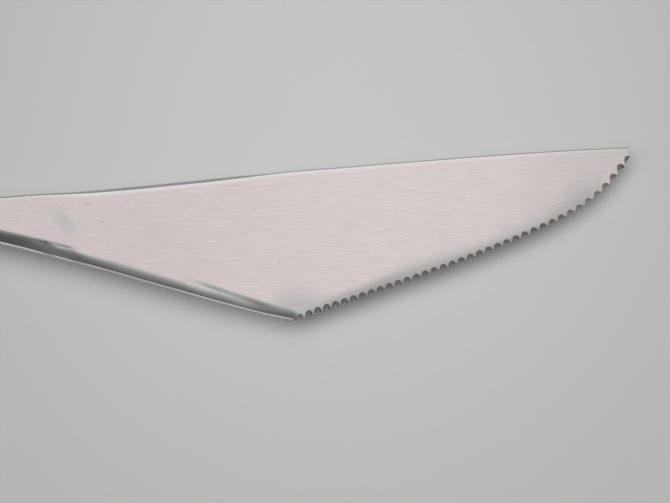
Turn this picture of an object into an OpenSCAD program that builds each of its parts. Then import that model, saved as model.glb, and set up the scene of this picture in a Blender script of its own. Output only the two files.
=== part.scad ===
// Table knife with a forged, finely toothed blade and a hollow two-shell handle.
// It lies on its side: +X runs to the tip, +Y to the spine, +Z up from the table.
// Outline values are measured from the handle mouth along the handle's axis.

/* [Blade outline] */
// Length of the blade forging from the handle mouth to the tip
blade_length = 112; // [104:1:125]
// Distance from the handle mouth to the heel corner, where the teeth begin
corner_distance = 60; // [52:1:68]
// Drop of the heel corner below the handle axis
corner_drop = 16.6; // [13:0.1:20]
// Rise of the spine above the handle axis, straight over the heel corner
spine_rise = 8.75; // [6:0.05:11]
// Rise of the spine above the handle axis at the tip
tip_rise = 13.1; // [11:0.1:16]
// Height of the blunt end at the tip
tip_height = 2.1; // [1.5:0.1:4]
// Distance from the handle mouth to the slim neck
neck_distance = 10; // [7:0.5:16]
// Rise of the neck above the handle axis
neck_rise = 3.2; // [2.6:0.1:4.5]
// Drop of the neck below the handle axis
neck_drop = 2.7; // [2.4:0.1:4.5]
// Upward angle of the spine at the neck, in degrees
spine_neck_angle = 3.7; // [1:0.1:6]
// Upward angle of the spine over the heel corner, in degrees
spine_corner_angle = 6.8; // [3:0.1:9]
// Upward angle of the spine at the tip, in degrees
spine_tip_angle = 2.6; // [0:0.1:5]
// Downward angle of the heel side at the neck, in degrees
heel_neck_angle = 10.2; // [4:0.1:14]
// Downward angle of the heel side at the heel corner, in degrees
heel_corner_angle = 11.5; // [5:0.1:20]
// Upward angle of the toothed edge at the heel corner, in degrees
edge_corner_angle = 20.2; // [15:0.1:26]
// Upward angle of the toothed edge at the tip, in degrees
edge_tip_angle = 66; // [55:1:75]
// How far the edge keeps its first direction, as a share of its chord
edge_corner_pull = 0.59; // [0.35:0.01:0.7]
// How far the edge keeps its last direction, as a share of its chord
edge_tip_pull = 0.175; // [0.1:0.005:0.3]

/* [Blade section] */
// Thickness of the neck
neck_thickness = 4.2; // [3.4:0.1:5]
// Thickness of the blade at the heel corner
corner_thickness = 1.6; // [1.2:0.1:2.2]
// Thickness of the blade at the tip
tip_thickness = 1.1; // [0.8:0.05:1.6]
// Thickness left on the toothed edge
edge_thickness = 0.8; // [0.5:0.05:1]
// Thickness left down the middle of each rolled side
side_land = 0.1; // [0.05:0.05:0.4]
// Width of the rolled heel side at the neck
neck_roll = 2; // [1.4:0.1:2.4]
// Width of the rolled heel side at the heel corner
corner_roll = 1.8; // [1:0.1:2.6]
// Width of the ground bevel behind the teeth at the tip
tip_bevel = 1.2; // [0.6:0.1:2]
// Rounding along the edges of the spine
spine_round = 0.35; // [0.2:0.05:0.5]

/* [Teeth] */
// Spacing of the flutes along the blade
flute_pitch = 1.38; // [1.3:0.02:2]
// Longest spacing of the flutes along the edge, reached near the tip
flute_edge_pitch = 1.95; // [1.6:0.05:2.6]
// Radius of one flute
flute_radius = 0.55; // [0.35:0.05:0.6]
// Depth of a flute behind the edge, at mid thickness
flute_depth = 0.45; // [0.25:0.05:0.6]
// Slope of the flutes from the blade's face, in degrees
flute_slope = 57; // [45:1:75]
// Distance from the heel corner to the middle of the first flute
flute_start = 1; // [0.7:0.05:2]

/* [Handle] */
// Length of the handle from its mouth to its butt
handle_length = 100; // [85:1:115]
// Width of the handle at its mouth
mouth_width = 8; // [7.5:0.1:10]
// Width of the handle at its widest
handle_width = 15.5; // [12:0.1:19]
// Thickness of the handle
handle_thickness = 6.2; // [5.6:0.1:7.2]
// Half angle at which the handle widens at its mouth, in degrees
mouth_angle = 6; // [2:0.5:9]
// Length of the rounded butt
butt_length = 13; // [9:0.5:20]
// Wall of each handle shell
shell_wall = 1; // [0.7:0.05:1.2]
// Width of the weld bead between the two shells
seam_width = 0.2; // [0.1:0.05:0.4]

/* [Tang] */
// Length of the tang inside the handle
tang_length = 48; // [30:1:65]
// Thickness of the cement around the tang at the handle mouth
cement_bed = 0.7; // [0.4:0.05:1]
// Radius of the notches that key the tang into the cement
notch_radius = 0.9; // [0.5:0.1:1.2]
// Spacing of the notches along the tang
notch_pitch = 12; // [8:1:16]

/* [Hidden] */
steel_colour = "#cfc8c8";
weld_colour = "#bdb8b6";
cement_colour = "#8d8a84";

handle_half = handle_thickness / 2;
mouth_half = mouth_width / 2;
// The mid plane lies at this height when the handle's flat face is on the table
mid_height = handle_half;
middle_x = (blade_length - handle_length) / 2;
middle_y = (tip_rise - corner_drop) / 2;
// Overlap that joins solids of one piece, and cutters past the faces they open
joint_overlap = 1;

// Stations along each stretch, and steps around each rolled side
neck_steps = 6;
heel_steps = 16;
edge_steps = 26;
handle_steps = 16;
butt_steps = 12;
roll_steps = 6;
// Angle at which the rounded butt closes, and its remaining end thickness
butt_close = 86;
butt_end_half = 0.3;
search_steps = 24;
// Most of the blade's height that the bevel behind the teeth may take
bevel_share = 0.8;

// Cubic curve between two points with given slopes
function hermite(x, a, b) =
    let (
        run = b[0] - a[0],
        u = (x - a[0]) / run,
        v = 1 - u
    )
    a[1] * v * v * (1 + 2 * u) + b[1] * u * u * (3 - 2 * u)
        + run * (a[2] * u * v * v - b[2] * u * u * v);

// A knot is a distance from the mouth, a value there and its slope
spine_knots = [
    [0, mouth_half, -tan(mouth_angle)],
    [neck_distance, neck_rise, tan(spine_neck_angle)],
    [corner_distance, spine_rise, tan(spine_corner_angle)],
    [blade_length, tip_rise, tan(spine_tip_angle)]
];
heel_knots = [
    [0, -mouth_half, tan(mouth_angle)],
    [neck_distance, -neck_drop, -tan(heel_neck_angle)],
    [corner_distance, -corner_drop, -tan(heel_corner_angle)]
];
taper = (tip_thickness - corner_thickness) / (blade_length - corner_distance) / 2;
half_knots = [
    [0, handle_half, 0],
    [neck_distance, neck_thickness / 2, taper],
    [corner_distance, corner_thickness / 2, taper],
    [blade_length, tip_thickness / 2, taper]
];

// Value of a chain of knots at a distance from the mouth
function along(knots, x, i = 0) =
    i >= len(knots) - 2 || x <= knots[i + 1][0]
        ? hermite(x, knots[i], knots[i + 1])
        : along(knots, x, i + 1);

// Value between two ends, eased at both
function ease(a, b, share) =
    let (u = min(1, max(0, share)))
    a + (b - a) * u * u * (3 - 2 * u);

// The toothed edge is one curve from the heel corner to the tip
edge_start = [corner_distance, -corner_drop];
edge_end = [blade_length, tip_rise - tip_height];
edge_chord = norm(edge_end - edge_start);
edge_poles = [
    edge_start,
    edge_start + edge_corner_pull * edge_chord * [cos(edge_corner_angle), sin(edge_corner_angle)],
    edge_end - edge_tip_pull * edge_chord * [cos(edge_tip_angle), sin(edge_tip_angle)],
    edge_end
];

function edge_point(t) =
    let (s = 1 - t)
    s * s * s * edge_poles[0] + 3 * s * s * t * edge_poles[1]
        + 3 * s * t * t * edge_poles[2] + t * t * t * edge_poles[3];

function edge_heading(t) =
    let (
        s = 1 - t,
        d = s * s * (edge_poles[1] - edge_poles[0]) + 2 * s * t * (edge_poles[2] - edge_poles[1])
            + t * t * (edge_poles[3] - edge_poles[2])
    )
    atan2(d[1], d[0]);

// Place along the edge curve of a distance from the mouth
function edge_place(x, low = 0, high = 1, steps = search_steps) =
    let (t = (low + high) / 2)
    steps == 0 ? t
        : edge_point(t)[0] < x ? edge_place(x, t, high, steps - 1)
        : edge_place(x, low, t, steps - 1);

// Distances of the flutes from the mouth, closer where the edge turns up
function flute_places(x) =
    x > blade_length - flute_radius / 2 ? []
        : let (step = min(flute_pitch, flute_edge_pitch * cos(edge_heading(edge_place(x)))))
          concat([x], flute_places(x + step));

// Quarter of a rolled side, from the flat face round to the side's own land
function roll(y_flat, y_side, z_flat, z_side) = [
    for (i = [0:roll_steps])
        let (a = 90 * i / roll_steps)
        [y_flat + (y_side - y_flat) * sin(a), z_side + (z_flat - z_side) * cos(a)]
];

function flipped(points) = [for (i = [len(points) - 1:-1:0]) [points[i][0], -points[i][1]]];
function backwards(points) = [for (i = [len(points) - 1:-1:0]) points[i]];

// Closed cross-section: flat faces at half thickness, with one rolled side low and one high.
// Each side is [limit, width of its roll, half thickness of its land].
function section(x, half, low, high) =
    let (
        low_roll = roll(low[0] + low[1], low[0], half, low[2]),
        high_roll = roll(high[0] - high[1], high[0], half, high[2]),
        ring = concat(low_roll, flipped(low_roll), flipped(backwards(high_roll)), backwards(high_roll))
    )
    [for (p = ring) [x, p[0], p[1]]];

// The spine side goes from round at the mouth to crisp past the neck
function spine_side(x, half) =
    let (
        crisp = ease(0, 1, x / (neck_distance + neck_roll)),
        width = ease(handle_half, spine_round, x / (neck_distance + neck_roll)),
        land = (half - spine_round) * crisp + side_land / 2 * (1 - crisp)
    )
    [along(spine_knots, x), width, land];

// The heel side is rolled, and thins to the toothed edge at the heel corner
function heel_side(x) =
    let (
        share = (x - neck_distance) / (corner_distance - neck_distance),
        mouth_roll = ease(handle_half, neck_roll, x / neck_distance),
        blade_roll = ease(neck_roll, corner_roll, share)
    )
    [
        along(heel_knots, x),
        x < neck_distance ? mouth_roll : blade_roll,
        ease(side_land, edge_thickness, share) / 2
    ];

// The toothed side has a ground bevel, limited by the height of the blade
function edge_side(t) =
    let (
        p = edge_point(t),
        room = along(spine_knots, p[0]) - p[1] - spine_round
    )
    [p[1], min(ease(corner_roll, tip_bevel, t), bevel_share * room), edge_thickness / 2];

heel_stations = concat(
    [for (i = [0:neck_steps]) neck_distance * i / neck_steps],
    [for (i = [1:heel_steps]) neck_distance + (corner_distance - neck_distance) * i / heel_steps]
);
blade_rings = concat(
    [
        for (x = heel_stations)
            let (half = along(half_knots, x))
            section(x, half, heel_side(x), spine_side(x, half))
    ],
    [
        for (i = [1:edge_steps])
            let (
                t = i / edge_steps,
                x = edge_point(t)[0],
                half = along(half_knots, x)
            )
            section(x, half, edge_side(t), spine_side(x, half))
    ]
);

// Half width of the handle at a distance behind its mouth, up to the rounded butt
handle_knots = [
    [0, mouth_half, tan(mouth_angle)],
    [handle_length - butt_length, handle_width / 2, 0]
];

// Cross-section of the handle, drawn in from its surface by a wall
function handle_section(behind, width_half, wall, end) =
    let (
        half_full = handle_half - wall,
        past = max(0, behind - (end - half_full)) / half_full,
        half = max(butt_end_half, half_full * sqrt(max(0, 1 - past * past))),
        side = [width_half, min(half, width_half), side_land / 2]
    )
    section(-behind, half, [-side[0], side[1], side[2]], side);

// Rings of the handle from butt to mouth, drawn in by a wall and lengthened at the mouth
function handle_rings(wall, lead) =
    let (
        start = handle_length - butt_length,
        reach = butt_length - wall,
        end = start + reach,
        widest = handle_width / 2 - wall,
        butt = [
            for (i = [butt_steps:-1:1])
                let (a = butt_close * i / butt_steps)
                handle_section(start + reach * sin(a) / sin(butt_close), widest * cos(a), wall, end)
        ],
        body = [
            for (i = [handle_steps:-1:0])
                let (behind = start * i / handle_steps)
                handle_section(behind, along(handle_knots, behind) - wall, wall, end)
        ],
        front = [
            for (extra = lead > 0 ? [lead] : [])
                handle_section(-extra, mouth_half - wall, wall, end)
        ]
    )
    concat(butt, body, front);

// Solid skinned over a row of rings that have equally many points
module skin(rings) {
    count = len(rings[0]);
    last = (len(rings) - 1) * count;
    sides = [
        for (i = [0:len(rings) - 2], j = [0:count - 1])
            let (
                a = i * count + j,
                b = i * count + (j + 1) % count
            )
            each [[a, a + count, b + count], [a, b + count, b]]
    ];
    caps = [
        [for (j = [0:count - 1]) j],
        [for (j = [count - 1:-1:0]) last + j]
    ];
    polyhedron([for (ring = rings) each ring], concat(sides, caps));
}

// Sets the knife's design axes on the table, with the middle of its box at the origin
module on_table() {
    translate([-middle_x, -middle_y, mid_height]) children();
}

// One sloping flute, long enough to pass through the blade, and open on the edge side
module flute() {
    height = 2 * (corner_thickness + joint_overlap) / sin(flute_slope);
    reach = 2 * flute_edge_pitch;
    rotate([flute_slope - 90, 0, 0]) {
        cylinder(h = height, r = flute_radius, center = true, $fn = 32);
        translate([-flute_radius, -reach, -height / 2]) cube([2 * flute_radius, reach, height]);
    }
}

module flutes() {
    for (x = flute_places(corner_distance + flute_start)) {
        back = flute_depth - flute_radius / sin(flute_slope);
        translate([x, edge_point(edge_place(x))[1] + back, 0]) flute();
    }
}

// Round-sided bar that follows the handle's mouth, with notches on both sides
module tang() {
    bar_half = handle_half - shell_wall - cement_bed;
    flat_half = mouth_half - handle_half;
    bar_length = tang_length + joint_overlap;
    difference() {
        translate([-tang_length, 0, 0]) {
            translate([0, -flat_half, -bar_half]) cube([bar_length, 2 * flat_half, 2 * bar_half]);
            for (side = [-1, 1])
                translate([0, side * flat_half, 0])
                    rotate([0, 90, 0])
                        cylinder(h = bar_length, r = bar_half, $fn = 48);
        }
        for (behind = [notch_pitch:notch_pitch:tang_length - notch_radius], side = [-1, 1])
            translate([-behind, side * (flat_half + bar_half), 0])
                cylinder(h = 2 * handle_half, r = notch_radius, center = true, $fn = 32);
    }
}

// Forged blade with its neck and its tang in one piece
module blade() {
    color(steel_colour) on_table() {
        difference() {
            skin(blade_rings);
            flutes();
        }
        tang();
    }
}

// Wall of the whole handle, before it is parted
module handle_wall() {
    difference() {
        skin(handle_rings(0, 0));
        skin(handle_rings(shell_wall, joint_overlap));
    }
}

// Block that keeps a layer of the handle between two heights
module layer(from, to) {
    translate([-handle_length - joint_overlap, -handle_width, from])
        cube([handle_length + 2 * joint_overlap, 2 * handle_width, to - from]);
}

module handle_upper_shell() {
    color(steel_colour) on_table() intersection() {
        handle_wall();
        layer(seam_width / 2, handle_thickness);
    }
}

module handle_lower_shell() {
    color(steel_colour) on_table() intersection() {
        handle_wall();
        layer(-handle_thickness, -seam_width / 2);
    }
}

// Bead that joins the shells along both sides and round the butt, ground flush
module handle_seam_weld() {
    color(weld_colour) on_table() intersection() {
        handle_wall();
        layer(-seam_width / 2, seam_width / 2);
    }
}

// Filling that beds the tang and closes the hollow of the handle
module tang_cement() {
    color(cement_colour) on_table() difference() {
        skin(handle_rings(shell_wall, 0));
        tang();
    }
}

blade();
handle_upper_shell();
handle_lower_shell();
handle_seam_weld();
tang_cement();
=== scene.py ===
import math

import bpy
from mathutils import Matrix, Vector


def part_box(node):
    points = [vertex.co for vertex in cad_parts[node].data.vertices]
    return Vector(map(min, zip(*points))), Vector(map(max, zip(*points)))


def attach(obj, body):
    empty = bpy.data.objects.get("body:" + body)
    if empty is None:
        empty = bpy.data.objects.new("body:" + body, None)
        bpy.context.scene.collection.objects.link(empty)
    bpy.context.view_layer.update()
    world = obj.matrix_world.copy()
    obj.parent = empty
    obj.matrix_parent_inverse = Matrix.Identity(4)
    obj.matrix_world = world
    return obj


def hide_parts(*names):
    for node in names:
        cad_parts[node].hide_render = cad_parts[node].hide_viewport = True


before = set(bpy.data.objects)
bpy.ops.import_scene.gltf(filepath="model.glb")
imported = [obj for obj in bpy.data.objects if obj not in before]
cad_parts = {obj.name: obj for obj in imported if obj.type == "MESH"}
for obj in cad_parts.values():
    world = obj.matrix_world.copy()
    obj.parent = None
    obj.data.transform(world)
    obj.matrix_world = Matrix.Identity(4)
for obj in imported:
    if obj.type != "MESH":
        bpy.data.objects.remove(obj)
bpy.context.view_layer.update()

# Sizes are in millimetres from the handle's mouth, along the handle's axis, with +Y to the spine
MM = 0.001
upper_low, upper_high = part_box("handle_upper_shell")
under_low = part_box("handle_lower_shell")[0]
MOUTH = Vector((
    upper_high.x,
    (upper_low.y + upper_high.y) / 2,
    (under_low.z + upper_high.z) / 2,
))

# Blade outline, as in the CAD model
BLADE_LENGTH = 112.0
CORNER_DISTANCE = 60.0
CORNER_DROP = 16.6
TIP_RISE = 13.1
TIP_HEIGHT = 2.1
NECK_DISTANCE = 10.0
MOUTH_HALF = 4.0
MOUTH_SLOPE = math.tan(math.radians(6.0))
EDGE_CORNER_ANGLE = math.radians(20.2)
EDGE_TIP_ANGLE = math.radians(66.0)
EDGE_CORNER_PULL = 0.59
EDGE_TIP_PULL = 0.175
HANDLE_HALF = 3.1

# A knot is a distance from the mouth, a value there and its slope
SPINE_KNOTS = [
    (0.0, MOUTH_HALF, -MOUTH_SLOPE),
    (NECK_DISTANCE, 3.2, math.tan(math.radians(3.7))),
    (CORNER_DISTANCE, 8.75, math.tan(math.radians(6.8))),
    (BLADE_LENGTH, TIP_RISE, math.tan(math.radians(2.6))),
]
HEEL_KNOTS = [
    (0.0, -MOUTH_HALF, MOUTH_SLOPE),
    (NECK_DISTANCE, -2.7, -math.tan(math.radians(10.2))),
    (CORNER_DISTANCE, -CORNER_DROP, -math.tan(math.radians(11.5))),
]
# Half the blade's thickness
THICKNESS_KNOTS = [
    (0.0, HANDLE_HALF, 0.0),
    (NECK_DISTANCE, 2.35, -0.04),
    (18.6, 1.9, -0.075),
    (24.0, 1.45, -0.07),
    (32.5, 1.07, -0.012),
    (CORNER_DISTANCE, 0.95, -0.006),
    (BLADE_LENGTH, 0.58, -0.006),
]

# Lists of points, each a distance from the mouth and the value there
# Heel side: length of the forged roll, how far it turns in degrees, how early it turns, from 1, evenly,
# upwards, and how far it stands out past the outline
HEEL_ROLL = [
    (0.0, 4.79), (10.0, 2.4), (14.3, 2.2), (18.6, 2.15), (20.6, 2.15), (23.2, 1.72), (28.0, 1.68),
    (33.0, 1.75), (45.0, 1.55), (49.5, 1.5), (54.0, 1.93), (58.0, 2.05), (62.0, 2.0),
]
HEEL_TURN = [
    (0.0, 90.0), (10.0, 56.0), (14.0, 53.0), (18.6, 46.0), (24.0, 45.0), (54.0, 46.0), (59.0, 48.0),
    (62.0, 49.0),
]
HEEL_EARLY = [
    (0.0, 1.0), (10.0, 2.5), (14.0, 3.4), (18.6, 6.0), (23.0, 4.0), (28.0, 1.5),
    (33.0, 0.9), (52.0, 1.0), (58.0, 1.25), (62.0, 1.25),
]
HEEL_FULLNESS = [
    (0.0, 0.0), (8.0, 0.25), (14.0, 0.34), (23.0, 0.35), (33.0, 0.19), (45.0, 0.04), (58.0, -0.02),
    (63.0, 0.0),
]
# Narrow arris between the roll and the land below it, which leans in a little. The arris bends at one
# of so many parts of its width in from the outside
ARRIS_WIDTH = [
    (0.0, 0.02), (10.0, 0.3), (16.0, 0.27), (23.0, 0.23), (46.0, 0.215), (56.0, 0.17), (60.0, 0.14),
]
ARRIS_PARTS = 5
ARRIS_FALL = 0.06
LAND_LEAN = math.tan(math.radians(10.0))
SIDE_LAND = 0.02
# Spine: width of its rounding, its share of the half thickness, its bulge from 1, straight, to 2,
# an ellipse, and how far it stands out past the outline
SPINE_ROLL = [(0.0, 3.1), (11.0, 0.5), (20.0, 0.5), (30.0, 0.95), (46.0, 0.95), (58.0, 0.55), (112.0, 0.45)]
SPINE_DEPTH = [(0.0, 0.98), (11.0, 0.2), (20.0, 0.26), (30.0, 0.9), (46.0, 0.9), (58.0, 0.8), (112.0, 0.8)]
SPINE_BULGE = [(0.0, 2.0), (10.0, 1.4), (14.0, 1.15), (24.0, 1.2), (112.0, 1.3)]
SPINE_FULLNESS = [
    (0.0, 0.0), (14.0, 0.2), (20.0, 0.35), (30.0, 0.68), (38.0, 0.58), (46.0, 0.5), (58.0, 0.25),
    (70.0, 0.0), (80.0, -0.08), (92.0, -0.06), (104.0, 0.0), (112.0, 0.0),
]
# Largest share of the blade's height that the spine's rounding takes
SPINE_SHARE = 0.3
# The face falls a little towards the spine, over a width that is at most a share of the face
SHOULDER_WIDTH = 0.9
SHOULDER_SHARE = 0.25
SHOULDER_FALL = [(0.0, 0.0), (16.0, 0.0), (30.0, 0.06), (60.0, 0.05), (90.0, 0.035), (112.0, 0.015)]
# Forging creases, low steps beside the heel roll: two ends on the face, height, width, and fading share
CREASES = [
    ((18.2, -3.3), (26.6, -5.09), 0.23, 0.58, 0.36),
    ((42.0, -9.65), (58.0, -15.2), 0.165, 0.9, 0.33),
]
CREASE_REACH = 1.3
# Strip of the face beside the heel that holds the creases, at most a share of the face
CREASE_STRIP = 3.6
STRIP_SHARE = 0.5
# Ground zone behind the teeth: its width, how it falls, its largest share of the face, and half the
# thickness left at the edge
GRIND_WIDTH = [(60.0, 2.6), (68.0, 2.6), (79.0, 3.6), (90.0, 3.4), (97.0, 5.0), (105.0, 8.0), (112.0, 4.0)]
GRIND_POWER = [(60.0, 2.0), (80.0, 2.1), (91.0, 2.6), (100.0, 2.6), (112.0, 2.5)]
GRIND_SHARE = 0.8
EDGE_LAND = [
    (60.0, 0.58), (64.0, 0.54), (68.0, 0.44), (76.0, 0.33), (90.0, 0.36), (105.0, 0.2), (107.0, 0.27),
    (109.0, 0.44), (112.0, 0.56),
]
# Heights of the points down the land at the edge, as shares of it
EDGE_LAND_STEPS = (0.7, 0.4, 0.15)
# The ends of the teeth round over: how wide and how deep
TOOTH_ROUND = 0.75
TOOTH_FALL = [(60.0, 0.04), (90.0, 0.045), (97.0, 0.03), (103.0, 0.0), (112.0, 0.0)]
# How far the teeth are worn back from the outline
EDGE_WEAR = [
    (60.0, 0.0), (63.0, 0.08), (68.0, 0.08), (76.0, 0.18), (90.0, 0.18), (98.0, 0.17), (102.5, 0.15),
    (107.0, 0.36), (110.0, 0.5), (112.0, 0.0),
]
# Slope at which the toothed edge leans in below its upper rim
EDGE_UNDERCUT = 1.0
# Slope of the face from the spine to the edge
WEDGE = [(0.0, 0.0), (45.0, 0.0), (60.0, 0.006), (76.0, 0.01), (90.0, 0.012), (100.0, 0.02), (112.0, 0.025)]
CORNER_BLEND = 0.4
TIP_CHAMFER = 0.12

# Flutes of the toothed edge, each scooped by a small wheel with a round rim: their spacing along the
# knife at the corner and at the tip, the widest along the edge itself, the least along the knife, and
# the first one's distance past the corner
FLUTE_CORNER_PITCH = 1.35
FLUTE_TIP_PITCH = 1.47
FLUTE_EDGE_PITCH = 1.8
FLUTE_LEAST_PITCH = 1.2
FLUTE_START = 0.5
# How far each flute's arch reaches in from the edge
FLUTE_DEPTH = [
    (60.0, 0.75), (64.0, 0.82), (68.0, 0.79), (76.0, 0.71), (90.0, 0.7), (97.0, 0.76), (101.0, 0.68),
    (105.3, 0.54), (106.7, 0.58), (108.1, 0.73), (109.4, 0.93), (110.5, 1.19), (111.7, 1.0), (112.0, 1.0),
]
# Each wheel's radius, the slope of its cut in degrees, and the distance from the mouth up to which
# it is used
FLUTE_WHEELS = [(1.6, 56.0, 102.0), (6.0, 69.0, 112.0)]
# Radius of the wheels' round rims, and how finely wheels and rims are divided
FLUTE_ROUND = 0.58
WHEEL_SEGMENTS = 128
ROUND_SEGMENTS = 32

# Tang, a bar with round sides and notches, which begins a short lead inside the blade
TANG_LENGTH = 48.0
TANG_HALF = 1.4
TANG_FLAT = 0.9
TANG_LEAD = 0.5
TANG_CHAMFER = 0.3
TANG_POINTS = 40
NOTCH_RADIUS = 0.9
NOTCH_PITCH = 12.0
NOTCH_SEGMENTS = 32

# Handle, whose butt rounds off to a small end. The cutter of the hollow runs on past the mouth
HANDLE_LENGTH = 100.0
HANDLE_WIDTH = 15.5
BUTT_LENGTH = 13.0
BUTT_CLOSE = math.radians(86.0)
BUTT_END_HALF = 0.3
SHELL_WALL = 1.0
SEAM_HALF = 0.1
HOLLOW_LEAD = 1.0
HANDLE_KNOTS = [
    (0.0, MOUTH_HALF, MOUTH_SLOPE),
    (HANDLE_LENGTH - BUTT_LENGTH, HANDLE_WIDTH / 2, 0.0),
]
# Hairline bevel where blade and handle meet, and depth of the seam's groove
JOINT_BEVEL = 0.08
SEAM_GROOVE = 0.04
# Height past the handle at which a layer of it may end
LAYER_SPARE = 1.0
# Points this near to a plane cut count as on it
CUT_REACH = 0.0005
# Points nearer than this are merged after the cuts
MERGE_REACH = 0.003
# Edges that bend less than this are shaded smooth
SMOOTH_ANGLE = math.radians(30.0)

# Counts of stations along the pieces and of points across their sections
NECK_STATIONS = 12
HEEL_STATIONS = 80
EDGE_STATIONS = 90
HANDLE_STATIONS = 30
BUTT_STATIONS = 20
SPINE_POINTS = 10
SHOULDER_POINTS = 6
FACE_POINTS = 9
CREASE_POINTS = 22
ROLL_POINTS = 18
HANDLE_ROLL_POINTS = 14
HANDLE_FACE_POINTS = 4
# Halvings that find a place on the edge curve
EDGE_HALVINGS = 24


def curve_between(x, a, b):
    """Value of the smooth curve between two knots, which keeps the slope at each."""
    run = b[0] - a[0]
    u = (x - a[0]) / run
    v = 1 - u
    ends = a[1] * v * v * (1 + 2 * u) + b[1] * u * u * (3 - 2 * u)
    return ends + run * (a[2] * u * v * v - b[2] * u * u * v)


def along(knots, x):
    """Value of a chain of knots at a distance from the mouth."""
    i = 0
    while i < len(knots) - 2 and x > knots[i + 1][0]:
        i += 1
    return curve_between(x, knots[i], knots[i + 1])


def ease(a, b, share):
    """Value between two ends, eased at both."""
    u = min(1.0, max(0.0, share))
    return a + (b - a) * u * u * (3 - 2 * u)


def eased(points, x):
    """Value of a chain of points, eased from each to the next."""
    i = 0
    while i < len(points) - 2 and x > points[i + 1][0]:
        i += 1
    a, b = points[i], points[i + 1]
    return ease(a[1], b[1], (x - a[0]) / (b[0] - a[0]))


def direction(angle):
    """Step of one millimetre at an angle from the knife's length."""
    return Vector((math.cos(angle), math.sin(angle)))


EDGE_START = Vector((CORNER_DISTANCE, -CORNER_DROP))
EDGE_END = Vector((BLADE_LENGTH, TIP_RISE - TIP_HEIGHT))
EDGE_CHORD = (EDGE_END - EDGE_START).length
EDGE_POLES = [
    EDGE_START,
    EDGE_START + EDGE_CORNER_PULL * EDGE_CHORD * direction(EDGE_CORNER_ANGLE),
    EDGE_END - EDGE_TIP_PULL * EDGE_CHORD * direction(EDGE_TIP_ANGLE),
    EDGE_END,
]


def edge_point(t):
    """Point of the toothed edge, one curve from the heel corner to the tip."""
    s = 1 - t
    a, b, c, d = EDGE_POLES
    return s * s * s * a + 3 * s * s * t * b + 3 * s * t * t * c + t * t * t * d


def edge_heading(t):
    """Angle of the toothed edge from the knife's length."""
    s = 1 - t
    a, b, c, d = EDGE_POLES
    way = s * s * (b - a) + 2 * s * t * (c - b) + t * t * (d - c)
    return math.atan2(way.y, way.x)


def edge_place(x):
    """Place along the edge curve of a distance from the mouth."""
    low, high = 0.0, 1.0
    for _ in range(EDGE_HALVINGS):
        t = (low + high) / 2
        if edge_point(t).x < x:
            low = t
        else:
            high = t
    return (low + high) / 2


def in_frame(x, y, z):
    """Point in metres in the shared frame."""
    return MOUTH + MM * Vector((x, y, z))


def crease_depth(x, y):
    """How far the forging creases lower the face at a point."""
    depth = 0.0
    for start, end, deep, wide, fading in CREASES:
        share = (x - start[0]) / (end[0] - start[0])
        if 0 < share < 1:
            away = y - (start[1] + share * (end[1] - start[1]))
            fade = ease(0, 1, share / fading) * ease(0, 1, (1 - share) / fading)
            depth += ease(0, deep * fade, 0.5 - away / wide)
    return depth


def face_limits(x, low):
    """Height of the spine, the face's upper end and the width of the ground zone beside the edge."""
    spine = along(SPINE_KNOTS, x) + eased(SPINE_FULLNESS, x)
    face_top = spine - min(eased(SPINE_ROLL, x), SPINE_SHARE * (spine - low))
    return spine, face_top, min(eased(GRIND_WIDTH, x), GRIND_SHARE * (face_top - low))


def ground_height(x, low, half, share):
    """Height of the ground zone over the middle plane, at a share of its width in from the edge."""
    face_top, width = face_limits(x, low)[1:]
    edge_fall = eased(WEDGE, x) * (face_top - low)
    fall = eased(WEDGE, x) * (face_top - low - width * share)
    fall += (half - edge_fall - eased(EDGE_LAND, x)) * (1 - share) ** eased(GRIND_POWER, x)
    return half - fall - eased(TOOTH_FALL, x) * max(0.0, 1 - width * share / TOOTH_ROUND) ** 2


def heel_points(x, low, half):
    """Heel side: a roll from the face, a narrow arris and an upright land."""
    length = eased(HEEL_ROLL, x)
    turn = math.radians(eased(HEEL_TURN, x))
    early = eased(HEEL_EARLY, x)
    arris = eased(ARRIS_WIDTH, x)
    step = length / (ROLL_POINTS - 1)
    face = face_limits(x, low)[1] - low - length * math.cos(turn / 2)
    y, z = 0.0, half - eased(WEDGE, x) * face
    points = [(y, z)]
    for i in range(ROLL_POINTS - 1):
        lean = turn * (1 - (1 - (i + 0.5) / (ROLL_POINTS - 1)) ** early)
        y -= step * math.cos(lean)
        z -= step * math.sin(lean)
        points.append((y, z))
    points = [(low + arris + py - y, pz) for py, pz in points]
    points.append((low + arris / ARRIS_PARTS, z - arris * ARRIS_FALL))
    points.append((low, z - arris * 2 * ARRIS_FALL))
    points.append((low, SIDE_LAND))
    return points


def edge_points(x, low, half, width):
    """Toothed side: a ground zone that falls to an upright land."""
    points = []
    for i in range(ROLL_POINTS):
        share = (1 - i / (ROLL_POINTS - 1)) ** 2
        points.append((low + width * share, ground_height(x, low, half, share)))
    land = points[-1][1]
    return points + [(low, land * share) for share in EDGE_LAND_STEPS]


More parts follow.
